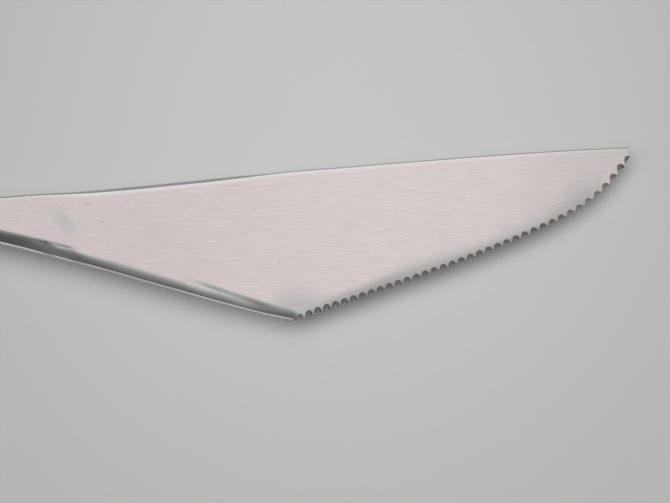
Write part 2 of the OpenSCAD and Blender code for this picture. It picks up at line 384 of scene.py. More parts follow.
def blade_half_profile(x, low, half, grind):
    """Upper half of the blade's section, from the middle of the spine over the face to the low side.
    grind is 0 along the rolled heel, 1 along the toothed edge."""
    low -= eased(HEEL_FULLNESS, x)
    spine, face_top, width = face_limits(x, low)
    spine_land = half * (1 - eased(SPINE_DEPTH, x))
    bulge = eased(SPINE_BULGE, x)
    fall = eased(SHOULDER_FALL, x)
    points = []
    for i in range(SPINE_POINTS):
        a = math.pi / 2 * i / (SPINE_POINTS - 1)
        in_by = (spine - face_top) * (1 - math.cos(a) ** (2 / bulge))
        points.append((spine - in_by, spine_land + (half - fall - spine_land) * math.sin(a) ** (2 / bulge)))
    low_side = [
        Vector(rolled).lerp(Vector(ground), grind)
        for rolled, ground in zip(heel_points(x, low, half), edge_points(x, low, half, width))
    ]
    face = face_top - low_side[0].x
    shoulder = min(SHOULDER_WIDTH, face * SHOULDER_SHARE)
    strip = min(CREASE_STRIP, face * STRIP_SHARE)
    drops = [shoulder * i / SHOULDER_POINTS for i in range(1, SHOULDER_POINTS)]
    drops += [shoulder + (face - strip - shoulder) * i / FACE_POINTS for i in range(FACE_POINTS)]
    drops += [face - strip + strip * i / CREASE_POINTS for i in range(CREASE_POINTS)]
    for drop in drops:
        y = face_top - drop
        sink = fall * max(0.0, 1 - drop / shoulder) ** 2 + eased(WEDGE, x) * drop
        points.append((y, half - sink - crease_depth(x, y)))
    for y, z in low_side[:-1]:
        on_face = (1 - grind) * ease(1, 0, (low_side[0].y - z) / CREASE_REACH)
        points.append((y, max(2 * SIDE_LAND, z - crease_depth(x, y) * on_face)))
    return points + [tuple(low_side[-1])]


def both_halves(x, upper, land_lean):
    """Closed section from its upper half. Below its land, the low side leans in under the blade."""
    top = upper[-2][1]
    low = upper[-1][0]
    lower = [(y, -z) for y, z in reversed(upper)]
    ring = []
    for y, z in upper + lower:
        near = ease(1, 0, (y - low) / CREASE_STRIP)
        ring.append(in_frame(x, y + land_lean * near * max(0.0, top - z), z))
    return ring


def drawn_in(ring, amount):
    """Ring with its points moved towards its middle by an amount, along Y and Z."""
    middle = sum(ring, Vector()) / len(ring)
    moved = []
    for point in ring:
        away = point - middle
        reach = Vector((0.0, away.y, away.z))
        moved.append(point - reach.normalized() * min(amount * MM, reach.length / 2))
    return moved


def shifted(ring, amount):
    """Ring moved along the knife by an amount."""
    return [point + Vector((amount * MM, 0.0, 0.0)) for point in ring]


def blade_rings():
    """Sections of the blade from the handle's mouth over neck and heel to the tip."""
    rings = []
    stops = [NECK_DISTANCE * i / NECK_STATIONS for i in range(NECK_STATIONS)]
    heel_run = CORNER_DISTANCE - NECK_DISTANCE
    stops += [NECK_DISTANCE + heel_run * i / HEEL_STATIONS for i in range(HEEL_STATIONS)]
    outline = [(x, along(HEEL_KNOTS, x)) for x in stops]
    for i in range(EDGE_STATIONS + 1):
        x, y = edge_point(i / EDGE_STATIONS)
        outline.append((x, y + eased(EDGE_WEAR, x)))
    for x, low in outline:
        grind = ease(0, 1, (x - CORNER_DISTANCE + CORNER_BLEND) / (2 * CORNER_BLEND))
        upper = blade_half_profile(x, low, along(THICKNESS_KNOTS, x), grind)
        lean = LAND_LEAN * (1 - grind) * ease(0, 1, x / NECK_DISTANCE) + EDGE_UNDERCUT * grind
        rings.append(both_halves(x, upper, lean))
    first, last = rings[0], rings[-1]
    rings[0] = shifted(first, JOINT_BEVEL)
    rings[-1] = shifted(last, -TIP_CHAMFER)
    return [drawn_in(first, JOINT_BEVEL)] + rings + [drawn_in(last, TIP_CHAMFER)]


def deselect_all():
    bpy.ops.object.select_all(action='DESELECT')


def pick(piece):
    """Selects a piece alone and makes it the one that operators work on."""
    deselect_all()
    piece.select_set(True)
    bpy.context.view_layer.objects.active = piece


def outward(piece):
    """Turns every face of a closed piece outwards."""
    pick(piece)
    bpy.ops.object.mode_set(mode='EDIT')
    bpy.ops.mesh.select_all(action='SELECT')
    bpy.ops.mesh.normals_make_consistent(inside=False)
    bpy.ops.object.mode_set(mode='OBJECT')


def extruded_rings(name, rings):
    """Extrudes a filled ring from station to station and sets each station's points on its section."""
    count = len(rings[0])
    deselect_all()
    bpy.ops.mesh.primitive_circle_add(
        vertices=count, radius=MM, fill_type='NGON', rotation=(0, math.pi / 2, 0),
    )
    piece = bpy.context.object
    piece.name = name
    bpy.ops.object.transform_apply(location=True, rotation=True, scale=True)
    bpy.ops.object.mode_set(mode='EDIT')
    bpy.ops.mesh.extrude_repeat(steps=len(rings) - 1, offset=(MM, 0, 0))
    bpy.ops.object.mode_set(mode='OBJECT')
    for i, ring in enumerate(rings):
        for j, point in enumerate(ring):
            piece.data.vertices[i * count + j].co = point
    outward(piece)
    return piece


def cut(piece, cutter, operation='DIFFERENCE'):
    """Cuts a piece with another, or joins them, and uses the other up."""
    pick(piece)
    change = piece.modifiers.new("cut", 'BOOLEAN')
    change.operation = operation
    change.solver = 'MANIFOLD'
    change.object = cutter
    bpy.ops.object.modifier_apply(modifier=change.name)
    bpy.data.objects.remove(cutter)


def clean(piece):
    """Merges points that the cuts left too near to each other and splits faces with many sides."""
    pick(piece)
    bpy.ops.object.mode_set(mode='EDIT')
    bpy.ops.mesh.select_mode(type='FACE')
    bpy.ops.mesh.select_all(action='SELECT')
    bpy.ops.mesh.remove_doubles(threshold=MERGE_REACH * MM)
    bpy.ops.mesh.dissolve_degenerate(threshold=MERGE_REACH * MM)
    bpy.ops.mesh.select_all(action='DESELECT')
    bpy.ops.mesh.select_face_by_sides(number=4, type='GREATER')
    bpy.ops.mesh.quads_convert_to_tris(quad_method='BEAUTY', ngon_method='BEAUTY')
    bpy.ops.mesh.select_all(action='SELECT')
    bpy.ops.mesh.dissolve_degenerate(threshold=MERGE_REACH * MM)
    bpy.ops.mesh.select_mode(type='VERT')
    bpy.ops.object.mode_set(mode='OBJECT')


def copied(first, places):
    """Copies of a shape at given places, each with its own mesh. The shape itself is used up."""
    copies = []
    for place in places:
        copy = first.copy()
        copy.data = first.data.copy()
        copy.data.transform(place)
        bpy.context.scene.collection.objects.link(copy)
        copies.append(copy)
    bpy.data.objects.remove(first)
    return copies


def joined(pieces):
    """Joins pieces into the first of them."""
    deselect_all()
    for piece in pieces:
        piece.select_set(True)
    bpy.context.view_layer.objects.active = pieces[0]
    bpy.ops.object.join()
    return pieces[0]


def flute_places():
    """Distances of the flutes from the mouth, closer where the edge turns up."""
    places = []
    x = CORNER_DISTANCE + FLUTE_START
    while x < BLADE_LENGTH:
        places.append(x)
        share = (x - CORNER_DISTANCE) / (BLADE_LENGTH - CORNER_DISTANCE)
        pitch = FLUTE_CORNER_PITCH + (FLUTE_TIP_PITCH - FLUTE_CORNER_PITCH) * share
        turned = FLUTE_EDGE_PITCH * math.cos(edge_heading(edge_place(x + pitch / 2)))
        x += max(FLUTE_LEAST_PITCH, min(pitch, turned))
    return places


def flute_cutter(wheel):
    """Wheel with a round rim that scoops one flute."""
    rings = []
    for i in range(ROUND_SEGMENTS + 1):
        a = math.pi * i / ROUND_SEGMENTS
        x = -FLUTE_ROUND * math.cos(a)
        radius = wheel - FLUTE_ROUND * (1 - math.sin(a))
        turns = [2 * math.pi * j / WHEEL_SEGMENTS for j in range(WHEEL_SEGMENTS)]
        rings.append([MM * Vector((x, radius * math.cos(b), radius * math.sin(b))) for b in turns])
    return extruded_rings("flute_wheel", rings)


def flute_place(x, wheel, slope):
    """Place of the wheel for one flute. The top of the arch lies at its depth behind the edge."""
    low = edge_point(edge_place(x)).y + eased(EDGE_WEAR, x)
    arch = eased(FLUTE_DEPTH, x)
    share = min(1.0, arch / face_limits(x, low)[2])
    rim = ground_height(x, low, along(THICKNESS_KNOTS, x), share)
    back = MM * wheel * Vector((0.0, -math.sin(slope), math.cos(slope)))
    return Matrix.Translation(in_frame(x, low + arch, rim) + back)


def flutes():
    """The flutes of the edge as two cutters, every second flute in each, so that none touch."""
    cutters = []
    start = 0.0
    for wheel, slope, end in FLUTE_WHEELS:
        places = [flute_place(x, wheel, math.radians(slope)) for x in flute_places() if start <= x < end]
        cutters += copied(flute_cutter(wheel), places)
        start = end
    return [joined(cutters[0::2]), joined(cutters[1::2])]


def tang_ring(x):
    """Section of the tang, flat above and below and round at the sides."""
    ring = []
    for i in range(TANG_POINTS):
        a = 2 * math.pi * (i + 0.5) / TANG_POINTS
        y = math.copysign(TANG_FLAT, math.cos(a)) + TANG_HALF * math.cos(a)
        ring.append(in_frame(x, y, TANG_HALF * math.sin(a)))
    return ring


def make_tang():
    """Round-sided bar that runs back into the handle, notched on both sides."""
    end = tang_ring(-TANG_LENGTH)
    tang = extruded_rings("tang", [
        drawn_in(end, TANG_CHAMFER), shifted(end, TANG_CHAMFER), tang_ring(TANG_LEAD),
    ])
    deselect_all()
    bpy.ops.mesh.primitive_cylinder_add(
        vertices=NOTCH_SEGMENTS, radius=NOTCH_RADIUS * MM, depth=2 * HANDLE_HALF * MM,
    )
    notch = bpy.context.object
    places = []
    behind = NOTCH_PITCH
    while behind < TANG_LENGTH - NOTCH_RADIUS:
        for side in (-1, 1):
            places.append(Matrix.Translation(in_frame(-behind, side * (TANG_FLAT + TANG_HALF), 0)))
        behind += NOTCH_PITCH
    cut(tang, joined(copied(notch, places)))
    return tang


def make_blade():
    """One forging of blade, neck and tang, with the flutes ground into its edge."""
    blade = extruded_rings("knife_blade", blade_rings())
    cut(blade, make_tang(), 'UNION')
    for cutter in flutes():
        cut(blade, cutter)
    clean(blade)
    outward(blade)
    bpy.ops.object.shade_smooth_by_angle(angle=SMOOTH_ANGLE)
    return blade


def handle_ring(behind, width_half, wall, end):
    """Section of the handle at a distance behind the mouth, set in by a wall, with rolled sides."""
    half_full = HANDLE_HALF - wall
    past = max(0.0, behind - (end - half_full)) / half_full
    half = max(BUTT_END_HALF, half_full * math.sqrt(max(0.0, 1 - past * past)))
    roll = min(half, width_half)
    quarter = []
    for i in range(HANDLE_ROLL_POINTS):
        a = math.pi / 2 * i / (HANDLE_ROLL_POINTS - 1)
        quarter.append((width_half - roll * (1 - math.cos(a)), half * math.sin(a)))
    flat = width_half - roll
    face = [(flat - 2 * flat * i / HANDLE_FACE_POINTS, half) for i in range(1, HANDLE_FACE_POINTS)]
    upper = quarter + face + [(-y, z) for y, z in reversed(quarter)]
    lower = [(y, -z) for y, z in reversed(upper[1:-1])]
    return [in_frame(-behind, y, z) for y, z in upper + lower]


def handle_rings(wall, lead):
    """Sections of the handle from the butt to the mouth, set in by a wall.
    A lead runs on past the mouth. Without one, the mouth gets its hairline bevel."""
    start = HANDLE_LENGTH - BUTT_LENGTH
    reach = BUTT_LENGTH - wall
    end = start + reach
    widest = HANDLE_WIDTH / 2 - wall
    rings = []
    for i in range(BUTT_STATIONS, 0, -1):
        a = BUTT_CLOSE * i / BUTT_STATIONS
        behind = start + reach * math.sin(a) / math.sin(BUTT_CLOSE)
        rings.append(handle_ring(behind, widest * math.cos(a), wall, end))
    for i in range(HANDLE_STATIONS, -1, -1):
        behind = start * i / HANDLE_STATIONS
        rings.append(handle_ring(behind, along(HANDLE_KNOTS, behind) - wall, wall, end))
    mouth = rings[-1]
    if lead:
        rings.append(shifted(mouth, lead))
    else:
        rings[-1] = shifted(mouth, -JOINT_BEVEL)
        rings.append(drawn_in(mouth, JOINT_BEVEL))
    return rings


def keep_layer(piece, name, low, high):
    """Copy of the handle's wall between two heights."""
    copy = piece.copy()
    copy.data = piece.data.copy()
    copy.name = name
    bpy.context.scene.collection.objects.link(copy)
    pick(copy)
    bpy.ops.object.mode_set(mode='EDIT')
    for height, clear_above in ((low, False), (high, True)):
        bpy.ops.mesh.select_all(action='SELECT')
        bpy.ops.mesh.bisect(
            plane_co=in_frame(0, 0, height), plane_no=(0, 0, 1), use_fill=True,
            clear_inner=not clear_above, clear_outer=clear_above, threshold=CUT_REACH * MM,
        )
    bpy.ops.object.mode_set(mode='OBJECT')
    outward(copy)
    bpy.ops.object.shade_smooth_by_angle(angle=SMOOTH_ANGLE)
    return copy


def handle_wall(inset):
    """Hollow wall of the whole handle, its outside set in by an amount."""
    wall = extruded_rings("handle_wall", handle_rings(inset, 0))
    cut(wall, extruded_rings("hollow", handle_rings(SHELL_WALL, HOLLOW_LEAD)))
    return wall


def make_handle():
    """Two half shells and the weld between them, each a layer of the handle's wall."""
    wall = handle_wall(0)
    upper = keep_layer(wall, "upper_shell", SEAM_HALF, HANDLE_HALF + LAYER_SPARE)
    lower = keep_layer(wall, "lower_shell", -HANDLE_HALF - LAYER_SPARE, -SEAM_HALF)
    bead = handle_wall(SEAM_GROOVE)
    weld = keep_layer(bead, "seam_weld", -SEAM_HALF, SEAM_HALF)
    bpy.data.objects.remove(wall)
    bpy.data.objects.remove(bead)
    return upper, lower, weld


def linear(code):
    """Linear colour of an sRGB hex code."""
    parts = [int(code[i:i + 2], 16) / 255 for i in (1, 3, 5)]
    return tuple(p / 12.92 if p <= 0.04045 else ((p + 0.055) / 1.055) ** 2.4 for p in parts) + (1.0,)


# Sockets of a node that mixes colours: the two that go in and the one that comes out
FIRST = 6
SECOND = 7
MIXED = 2


def add_node(tree, kind, settings=None, values=None, links=None, stops=()):
    """Adds a node with its settings, its input values, the links that feed it and a ramp's stops,
    each a share of the way and the colour there."""
    node = tree.nodes.new(kind)
    for name, value in (settings or {}).items():
        setattr(node, name, value)
    for name, value in (values or {}).items():
        node.inputs[name].default_value = value
    for name, source in (links or {}).items():
        tree.links.new(source, node.inputs[name])
    # A ramp has two stops from the start
    for _ in stops[2:]:
        node.color_ramp.elements.new(0.5)
    for i, (share, code) in enumerate(stops):
        node.color_ramp.elements[i].position = share
        node.color_ramp.elements[i].color = linear(code)
    return node


def new_material(name):
    """Empty material."""
    material = bpy.data.materials.new(name)
    material.use_nodes = True
    material.node_tree.nodes.clear()
    return material


# Brushed steel along the blade: distance from the mouth and colour there, darker towards the neck and the
# tip as painted shade
BRUSHED_SHADE_ALONG = [
    (24.0, "#d2c9c8"), (46.0, "#d7cdcc"), (74.0, "#dcd3d2"), (94.0, "#dcd3d2"), (104.0, "#d4cccb"),
    (112.0, "#d1c9c8"),
]
# Brush strokes, drawn wider than real ones so that they show, and how far they change the colour
STROKE_LENGTH = 3.0
STROKE_WIDTH = 0.22
STROKE_CHANGE = 0.075
# Range that most of a noise pattern lies in
NOISE_RANGE = (0.25, 0.75)
# Polished steel by how steeply it leans across the blade, darker where the roll is steep: painted shade
POLISHED_SHADE_BY_LEAN = [
    (0.46, "#c9c7c8"), (0.676, "#b1aaae"), (0.766, "#a198a0"), (0.84, "#9c939a"), (0.93, "#c9c7c8"),
]
# Leans, from 0, level, to 1, upright, between which polish sets in, and the leans between which painted
# shade greys the spine's side that faces back
POLISH_LEAN = (0.02, 0.12)
SPINE_LEAN = (0.4, 0.7)
SPINE_SHADE_GREY = "#b0acac"
# Ground steel begins just before the heel corner and is full a little way past it
GROUND_START = 59.5
GROUND_BLEND = 3.0
GROUND_LEAN = -0.04
GROUND_TINT = "#f6f5f4"
# Flutes are told from the ground zone by how little they face up. Their grey is partly the ground finish
# and partly painted shade in their hollows
FLUTE_FACING = (0.9, 0.75)
FLUTE_GREY_AND_SHADE = "#a6a2a2"
# Roughness of brushed and of polished steel, and what the flutes' grinding marks add
BRUSHED_ROUGH = 0.3
POLISHED_ROUGH = 0.1
FLUTE_ROUGH = 0.4
# Marks on the upper face: place, lengths, turn in degrees, colour and strength. The first is a greyer patch
# by the neck, the second is painted shade round the heel corner and the third is a smear
FACE_MARKS_AND_SHADE = [
    ((24.0, -0.6, 1.4), (4.2, 2.0, 4.0), -58.0, "#bfbdbf", 0.8),
    ((60.0, -16.6, 1.0), (7.0, 7.0, 7.0), 0.0, "#b8b4b4", 1.0),
    ((27.4, 2.7, 1.2), (0.8, 0.22, 1.0), 4.0, "#b3aaab", 0.8),
]
# Small pits in the face, with the same columns
PITS = [
    ((21.3, -3.95, 1.5), (0.22, 0.3, 1.0), 0.0, "#4a4646", 0.9),
    ((29.7, -0.3, 1.1), (0.22, 0.22, 1.0), 0.0, "#6e6767", 0.8),
    ((57.2, -7.1, 0.9), (0.2, 0.2, 1.0), 0.0, "#8a8282", 0.8),
    ((72.4, 6.3, 0.8), (0.2, 0.2, 1.0), 0.0, "#8a8282", 0.8),
]


def marked(tree, place, base, marks):
    """Colour of a surface with soft marks laid on it: marks of use, greyer patches and painted shade."""
    for centre, lengths, turn, code, strength in marks:
        mark_place = add_node(tree, "ShaderNodeMapping", settings={"vector_type": 'TEXTURE'},
                              values={"Location": in_frame(*centre),
                                      "Rotation": (0.0, 0.0, math.radians(turn)),
                                      "Scale": [length * MM for length in lengths]},
                              links={"Vector": place.outputs["Object"]})
        reach = add_node(tree, "ShaderNodeVectorMath", settings={"operation": 'LENGTH'},
                         links={0: mark_place.outputs["Vector"]})
        mark = add_node(tree, "ShaderNodeMapRange", settings={"interpolation_type": 'SMOOTHSTEP'},
                        values={"From Min": 1.0, "From Max": 0.0, "To Max": strength},
                        links={"Value": reach.outputs["Value"]})
        base = add_node(tree, "ShaderNodeMix", settings={"data_type": 'RGBA'},
                        values={SECOND: linear(code)},
                        links={"Factor": mark.outputs["Result"], FIRST: base.outputs[MIXED]})
    return base


def brush_strokes(tree, place):
    """Brush strokes a few millimetres long and a fifth of a millimetre wide, as shares of a colour."""
    across = 1 / (STROKE_WIDTH * MM)
    stroke_place = add_node(tree, "ShaderNodeMapping",
                            values={"Scale": (1 / (STROKE_LENGTH * MM), across, across)},
                            links={"Vector": place.outputs["Object"]})
    strokes = add_node(tree, "ShaderNodeTexNoise", values={"Scale": 1.0, "Detail": 2.0, "Roughness": 0.6},
                       links={"Vector": stroke_place.outputs["Vector"]})
    return add_node(tree, "ShaderNodeMapRange", settings={"clamp": False},
                    values={"From Min": NOISE_RANGE[0], "From Max": NOISE_RANGE[1],
                            "To Min": 1 - STROKE_CHANGE, "To Max": 1 + STROKE_CHANGE},
                    links={"Value": strokes.outputs["Fac"]})


def brushed_stainless():
    """Stainless steel, brushed lengthways: a soft warm sheen with fine streaks along the blade, and painted
    shade towards the neck, the tip and the heel corner.
    Where the surface rolls over, it is polished: cooler and mirror-like, with painted shade where the roll
    is steep and on the spine's side that faces back.
    Beside the teeth it is ground: greyer, and dull in the flutes, whose grey is partly painted shade."""
    material = new_material("brushed_stainless")
    tree = material.node_tree
    place = add_node(tree, "ShaderNodeTexCoord")
    surface = add_node(tree, "ShaderNodeNewGeometry")
    # How far the surface leans across the blade, which tells rolled and ground sides from flat faces
    facing = add_node(tree, "ShaderNodeSeparateXYZ", links={"Vector": surface.outputs["Normal"]})
    lean = add_node(tree, "ShaderNodeMath", settings={"operation": 'ABSOLUTE'},
                    links={0: facing.outputs["Y"]})
    polish = add_node(tree, "ShaderNodeMapRange", settings={"interpolation_type": 'SMOOTHSTEP'},
                      values={"From Min": POLISH_LEAN[0], "From Max": POLISH_LEAN[1]},
                      links={"Value": lean.outputs["Value"]})
    # Ground zone and flutes, only beside the teeth and only where the surface faces the edge
    spot = add_node(tree, "ShaderNodeSeparateXYZ", links={"Vector": place.outputs["Object"]})
    ground_from = MOUTH.x + GROUND_START * MM
    toothed = add_node(tree, "ShaderNodeMapRange", settings={"interpolation_type": 'SMOOTHSTEP'},
                       values={"From Min": ground_from, "From Max": ground_from + GROUND_BLEND * MM},
                       links={"Value": spot.outputs["X"]})
    downwards = add_node(tree, "ShaderNodeMapRange", values={"From Min": 0.0, "From Max": GROUND_LEAN},
                         links={"Value": facing.outputs["Y"]})
    ground = add_node(tree, "ShaderNodeMath", settings={"operation": 'MULTIPLY'},
                      links={0: toothed.outputs["Result"], 1: downwards.outputs["Result"]})
    steep = add_node(tree, "ShaderNodeMapRange",
                     values={"From Min": FLUTE_FACING[0], "From Max": FLUTE_FACING[1]},
                     links={"Value": facing.outputs["Z"]})
    flute = add_node(tree, "ShaderNodeMath", settings={"operation": 'MULTIPLY'},
                     links={0: ground.outputs["Value"], 1: steep.outputs["Result"]})
    # Brushed face, with painted shade that darkens it towards the neck and the tip
    share = add_node(tree, "ShaderNodeMapRange",
                     values={"From Min": MOUTH.x, "From Max": MOUTH.x + BLADE_LENGTH * MM},
                     links={"Value": spot.outputs["X"]})
    face = add_node(tree, "ShaderNodeValToRGB", links={"Fac": share.outputs["Result"]},
                    stops=[(distance / BLADE_LENGTH, code) for distance, code in BRUSHED_SHADE_ALONG])
    strokes = brush_strokes(tree, place)
    brushed = add_node(tree, "ShaderNodeMix", settings={"data_type": 'RGBA', "blend_type": 'MULTIPLY'},
                       values={"Factor": 1.0},
                       links={FIRST: face.outputs["Color"], SECOND: strokes.outputs["Result"]})
    # A greyer patch and a smear, with painted shade round the heel corner
    brushed = marked(tree, place, brushed, FACE_MARKS_AND_SHADE)
    # Polished and ground sides; the polished colour holds painted shade where the roll is steep
    shaded_polish = add_node(tree, "ShaderNodeValToRGB", links={"Fac": lean.outputs["Value"]},
                        stops=POLISHED_SHADE_BY_LEAN)
    smooth = add_node(tree, "ShaderNodeMix", settings={"data_type": 'RGBA', "blend_type": 'MULTIPLY'},
                      values={SECOND: linear(GROUND_TINT)},
                      links={"Factor": ground.outputs["Value"], FIRST: shaded_polish.outputs["Color"]})
    side = add_node(tree, "ShaderNodeMix", settings={"data_type": 'RGBA'},
                    links={"Factor": polish.outputs["Result"], FIRST: brushed.outputs[MIXED],
                           SECOND: smooth.outputs[MIXED]})
    # Flutes greyer: partly their ground finish, partly painted shade in their hollows
    fluted = add_node(tree, "ShaderNodeMix", settings={"data_type": 'RGBA'},
                      values={SECOND: linear(FLUTE_GREY_AND_SHADE)},
                      links={"Factor": flute.outputs["Value"], FIRST: side.outputs[MIXED]})
    # Painted shade on the spine's side that faces back
    spine = add_node(tree, "ShaderNodeMapRange",
                     values={"From Min": SPINE_LEAN[0], "From Max": SPINE_LEAN[1]},
                     links={"Value": facing.outputs["Y"]})
    colour = add_node(tree, "ShaderNodeMix", settings={"data_type": 'RGBA'},
                      values={SECOND: linear(SPINE_SHADE_GREY)},
                      links={"Factor": spine.outputs["Result"], FIRST: fluted.outputs[MIXED]})
    colour = marked(tree, place, colour, PITS)
    shine = add_node(tree, "ShaderNodeMapRange",
                     values={"To Min": BRUSHED_ROUGH, "To Max": POLISHED_ROUGH},
                     links={"Value": polish.outputs["Result"]})
    rough = add_node(tree, "ShaderNodeMath", settings={"operation": 'MULTIPLY_ADD'},
                     values={1: FLUTE_ROUGH},
                     links={0: flute.outputs["Value"], 2: shine.outputs["Result"]})
    shader = add_node(tree, "ShaderNodeBsdfPrincipled", values={"Metallic": 1.0},
                      links={"Base Color": colour.outputs[MIXED], "Roughness": rough.outputs["Value"]})
    add_node(tree, "ShaderNodeOutputMaterial", links={"Surface": shader.outputs["BSDF"]})
    return material


# Sheet steel of the handle: brushed, polished and touched colours, and how little the polished
# sides face up
SHEET_BRUSHED = "#d3cac9"
SHEET_POLISHED = "#c9c7c8"
SHEET_TOUCHED = "#bfbdbf"
SHEET_FACING = (0.97, 0.8)
SHEET_ROLL_ROUGH = 0.12
# Finger marks about a centimetre across, the part of the pattern that shows as marks, how strong they
# are and the roughness they add
FINGER_WIDTH = 11.0
FINGER_RANGE = (0.5, 0.75)
FINGER_STRENGTH = 0.5
FINGER_ROUGH = 0.12


def handle_stainless():
    """Stainless sheet, stamped and brushed lengthways: a warm sheen like the blade's, with brighter,
    polished sides and faint finger marks."""
    material = new_material("brushed_stainless_sheet")
    tree = material.node_tree
    place = add_node(tree, "ShaderNodeTexCoord")
    surface = add_node(tree, "ShaderNodeNewGeometry")
    facing = add_node(tree, "ShaderNodeSeparateXYZ", links={"Vector": surface.outputs["Normal"]})
    flatness = add_node(tree, "ShaderNodeMath", settings={"operation": 'ABSOLUTE'},
                        links={0: facing.outputs["Z"]})
    polish = add_node(tree, "ShaderNodeMapRange", settings={"interpolation_type": 'SMOOTHSTEP'},
                      values={"From Min": SHEET_FACING[0], "From Max": SHEET_FACING[1]},
                      links={"Value": flatness.outputs["Value"]})
    strokes = brush_strokes(tree, place)
    brushed = add_node(tree, "ShaderNodeMix", settings={"data_type": 'RGBA', "blend_type": 'MULTIPLY'},
                       values={"Factor": 1.0, FIRST: linear(SHEET_BRUSHED)},
                       links={SECOND: strokes.outputs["Result"]})
    fingers = add_node(tree, "ShaderNodeTexNoise",
                       values={"Scale": 1 / (FINGER_WIDTH * MM), "Detail": 3.0, "Roughness": 0.55},
                       links={"Vector": place.outputs["Object"]})
    touched = add_node(tree, "ShaderNodeMapRange", settings={"interpolation_type": 'SMOOTHSTEP'},
                       values={"From Min": FINGER_RANGE[0], "From Max": FINGER_RANGE[1],
                               "To Max": FINGER_STRENGTH},
                       links={"Value": fingers.outputs["Fac"]})
    handled = add_node(tree, "ShaderNodeMix", settings={"data_type": 'RGBA'},
                       values={SECOND: linear(SHEET_TOUCHED)},
                       links={"Factor": touched.outputs["Result"], FIRST: brushed.outputs[MIXED]})
    colour = add_node(tree, "ShaderNodeMix", settings={"data_type": 'RGBA'},
                      values={SECOND: linear(SHEET_POLISHED)},
                      links={"Factor": polish.outputs["Result"], FIRST: handled.outputs[MIXED]})
    shine = add_node(tree, "ShaderNodeMapRange",
                     values={"To Min": BRUSHED_ROUGH, "To Max": SHEET_ROLL_ROUGH},
                     links={"Value": polish.outputs["Result"]})
    rough = add_node(tree, "ShaderNodeMath", settings={"operation": 'MULTIPLY_ADD'},
                     values={1: FINGER_ROUGH},
                     links={0: touched.outputs["Result"], 2: shine.outputs["Result"]})
    shader = add_node(tree, "ShaderNodeBsdfPrincipled", values={"Metallic": 1.0},
                      links={"Base Color": colour.outputs[MIXED], "Roughness": rough.outputs["Value"]})
    add_node(tree, "ShaderNodeOutputMaterial", links={"Surface": shader.outputs["BSDF"]})
    return material


# Weld bead: spacing and width of its ripples, its two greys and the roughness of each
RIPPLE_SPACING = 0.8
RIPPLE_WIDTH = 4.0
WELD_GREYS = ("#a09c9a", "#c8c2bf")
WELD_ROUGH = (0.16, 0.34)


def weld_stainless():
    """Weld bead of stainless steel, ground off and polished: a darker hairline with faint ripples."""
    material = new_material("ground_weld_stainless")
    tree = material.node_tree
    place = add_node(tree, "ShaderNodeTexCoord")
    across = 1 / (RIPPLE_WIDTH * MM)
    ripple_place = add_node(tree, "ShaderNodeMapping",
                            values={"Scale": (1 / (RIPPLE_SPACING * MM), across, across)},
                            links={"Vector": place.outputs["Object"]})
    ripples = add_node(tree, "ShaderNodeTexNoise", values={"Scale": 1.0, "Detail": 1.0},
                       links={"Vector": ripple_place.outputs["Vector"]})
    colour = add_node(tree, "ShaderNodeMix", settings={"data_type": 'RGBA'},
                      values={FIRST: linear(WELD_GREYS[0]), SECOND: linear(WELD_GREYS[1])},
                      links={"Factor": ripples.outputs["Fac"]})
    shine = add_node(tree, "ShaderNodeMapRange", values={"To Min": WELD_ROUGH[0], "To Max": WELD_ROUGH[1]},
                     links={"Value": ripples.outputs["Fac"]})
    shader = add_node(tree, "ShaderNodeBsdfPrincipled", values={"Metallic": 1.0},
                      links={"Base Color": colour.outputs[MIXED], "Roughness": shine.outputs["Result"]})
    add_node(tree, "ShaderNodeOutputMaterial", links={"Surface": shader.outputs["BSDF"]})
    return material


# Cement: size of its grains, how far and how strongly they stand out, its two greys and its roughness
GRAIN_SIZE = 0.5
GRAIN_HEIGHT = 0.1
GRAIN_STRENGTH = 0.6
CEMENT_GREYS = ("#77746d", "#a3a099")
CEMENT_ROUGH = 0.9


def handle_cement():
    """Mineral cement, poured and set: dull warm grey with fine sandy grains."""
    material = new_material("mineral_cement")
    tree = material.node_tree
    place = add_node(tree, "ShaderNodeTexCoord")
    grains = add_node(tree, "ShaderNodeTexNoise",
                      values={"Scale": 1 / (GRAIN_SIZE * MM), "Detail": 3.0, "Roughness": 0.7},
                      links={"Vector": place.outputs["Object"]})
    colour = add_node(tree, "ShaderNodeMix", settings={"data_type": 'RGBA'},
                      values={FIRST: linear(CEMENT_GREYS[0]), SECOND: linear(CEMENT_GREYS[1])},
                      links={"Factor": grains.outputs["Fac"]})
    bump = add_node(tree, "ShaderNodeBump",
                    values={"Strength": GRAIN_STRENGTH, "Distance": GRAIN_HEIGHT * MM},
                    links={"Height": grains.outputs["Fac"]})
    shader = add_node(tree, "ShaderNodeBsdfPrincipled", values={"Roughness": CEMENT_ROUGH},
                      links={"Base Color": colour.outputs[MIXED], "Normal": bump.outputs["Normal"]})
    add_node(tree, "ShaderNodeOutputMaterial", links={"Surface": shader.outputs["BSDF"]})
    return material


# Table, in metres: its size, the middle of its lightest part, how its painted shade spreads along each axis
# and the distance over which it darkens; then its grey and its painted shade grey, its roughness and its
# gloss
TABLE_SIZE = 4.0
TABLE_MIDDLE = (0.0606, 0.022, 0.0)
TABLE_SPREAD = (1.0, 0.85, 0.0)
TABLE_SHADE_REACH = 0.09
TABLE_GREY_AND_SHADE = ("#cccccc", "#b9b9b9")
TABLE_ROUGH = 0.6
TABLE_GLOSS = 0.2


